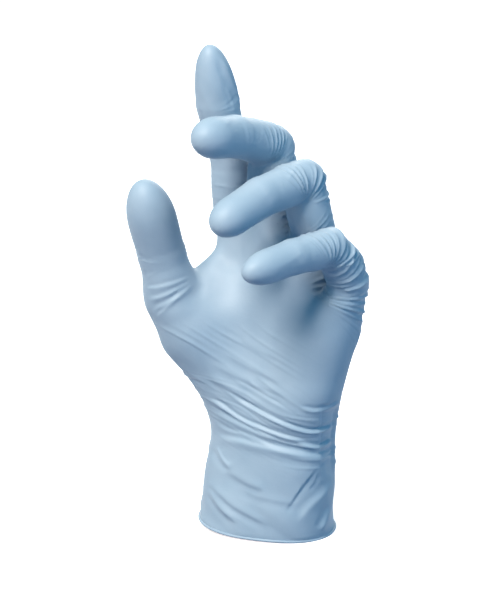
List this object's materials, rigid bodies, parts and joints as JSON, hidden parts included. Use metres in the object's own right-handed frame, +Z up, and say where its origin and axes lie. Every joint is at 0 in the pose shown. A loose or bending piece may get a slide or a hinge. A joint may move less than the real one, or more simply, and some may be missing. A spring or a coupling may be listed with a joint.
{
  "type": "disposable glove",
  "caption": "Thin blue disposable nitrile glove shaped as worn on a raised left hand, with bent fingers and a rolled hem, divided at its flex lines so it can be posed.",
  "frame": {"origin": "centre of the cuff's opening, in the plane of the hem", "axes": "+Z up the forearm towards the fingers, -Y towards the viewer and the palm side, +X towards the little finger"},
  "size_m": [0.1014, 0.0839, 0.2138],
  "materials": {
    "film": "satin dipped nitrile film with a fine texture, light blue",
    "hem": "rolled edge of the same nitrile film, slightly lighter"
  },
  "bodies": {
    "cuff": {"cuff_bead": "hem", "cuff_sleeve": "film"},
    "palm": {"palm_shell": "film"},
    "thumb_proximal": {"thumb_proximal": "film"},
    "thumb_tip": {"thumb_tip": "film"},
    "index_proximal": {"index_proximal": "film"},
    "index_middle": {"index_middle": "film"},
    "index_tip": {"index_tip": "film"},
    "middle_proximal": {"middle_proximal": "film"},
    "middle_middle": {"middle_middle": "film"},
    "middle_tip": {"middle_tip": "film"},
    "ring_proximal": {"ring_proximal": "film"},
    "ring_middle": {"ring_middle": "film"},
    "ring_tip": {"ring_tip": "film"},
    "little_proximal": {"little_proximal": "film"},
    "little_middle": {"little_middle": "film"},
    "little_tip": {"little_tip": "film"}
  },
  "joints": [
    {"name": "wrist_bend", "type": "hinge", "parent": "cuff", "child": "palm", "pos_m": [0.003, 0, 0.044], "axis": [0.829, -0.5592, 0], "range_deg": [-25, 30]},
    {"name": "thumb_root_bend", "type": "hinge", "parent": "palm", "child": "thumb_proximal", "pos_m": [-0.041, 0.005, 0.103], "axis": [-0.8325, -0.4806, -0.2756], "range_deg": [-18, 17]},
    {"name": "thumb_end_bend", "type": "hinge", "parent": "thumb_proximal", "child": "thumb_tip", "pos_m": [-0.04564, 0.00147, 0.12317], "axis": [-0.8325, -0.4806, -0.2756], "range_deg": [-49, 6]},
    {"name": "index_root_bend", "type": "hinge", "parent": "palm", "child": "index_proximal", "pos_m": [-0.015, 0.02, 0.137], "axis": [0.7875, -0.6153, 0.0349], "range_deg": [-15, 40]},
    {"name": "index_middle_bend", "type": "hinge", "parent": "index_proximal", "child": "index_middle", "pos_m": [-0.01703, 0.01882, 0.16189], "axis": [0.7875, -0.6153, 0.0349], "range_deg": [-8, 67]},
    {"name": "index_end_bend", "type": "hinge", "parent": "index_middle", "child": "index_tip", "pos_m": [-0.02116, 0.01491, 0.18623], "axis": [0.7875, -0.6153, 0.0349], "range_deg": [-3, 42]},
    {"name": "middle_root_bend", "type": "hinge", "parent": "palm", "child": "middle_proximal", "pos_m": [0.003, 0.009, 0.141], "axis": [0.7659, -0.6427, 0.0175], "range_deg": [-12, 48]},
    {"name": "middle_middle_bend", "type": "hinge", "parent": "middle_proximal", "child": "middle_middle", "pos_m": [0.002, 0.00857, 0.16898], "axis": [0.7659, -0.6427, 0.0175], "range_deg": [-70, 25]},
    {"name": "middle_end_bend", "type": "hinge", "parent": "middle_middle", "child": "middle_tip", "pos_m": [-0.014, -0.01029, 0.17701], "axis": [0.7659, -0.6427, 0.0175], "range_deg": [-11, 39]},
    {"name": "ring_root_bend", "type": "hinge", "parent": "palm", "child": "ring_proximal", "pos_m": [0.0205, -0.0035, 0.133], "axis": [0.6947, -0.7193, 0], "range_deg": [-25, 35]},
    {"name": "ring_middle_bend", "type": "hinge", "parent": "ring_proximal", "child": "ring_middle", "pos_m": [0.01566, -0.00817, 0.15811], "axis": [0.6947, -0.7193, 0], "range_deg": [-84, 11]},
    {"name": "ring_end_bend", "type": "hinge", "parent": "ring_middle", "child": "ring_tip", "pos_m": [-0.00281, -0.02601, 0.15405], "axis": [0.6947, -0.7193, 0], "range_deg": [-13, 37]},
    {"name": "little_root_bend", "type": "hinge", "parent": "palm", "child": "little_proximal", "pos_m": [0.035, -0.0175, 0.115], "axis": [0.6427, -0.7659, -0.0175], "range_deg": [-40, 15]},
    {"name": "little_middle_bend", "type": "hinge", "parent": "little_proximal", "child": "little_middle", "pos_m": [0.02597, -0.02547, 0.1322], "axis": [0.6427, -0.7659, -0.0175], "range_deg": [-58, 27]},
    {"name": "little_end_bend", "type": "hinge", "parent": "little_middle", "child": "little_tip", "pos_m": [0.01065, -0.0383, 0.13115], "axis": [0.6427, -0.7659, -0.0175], "range_deg": [-8, 42]}
  ]
}
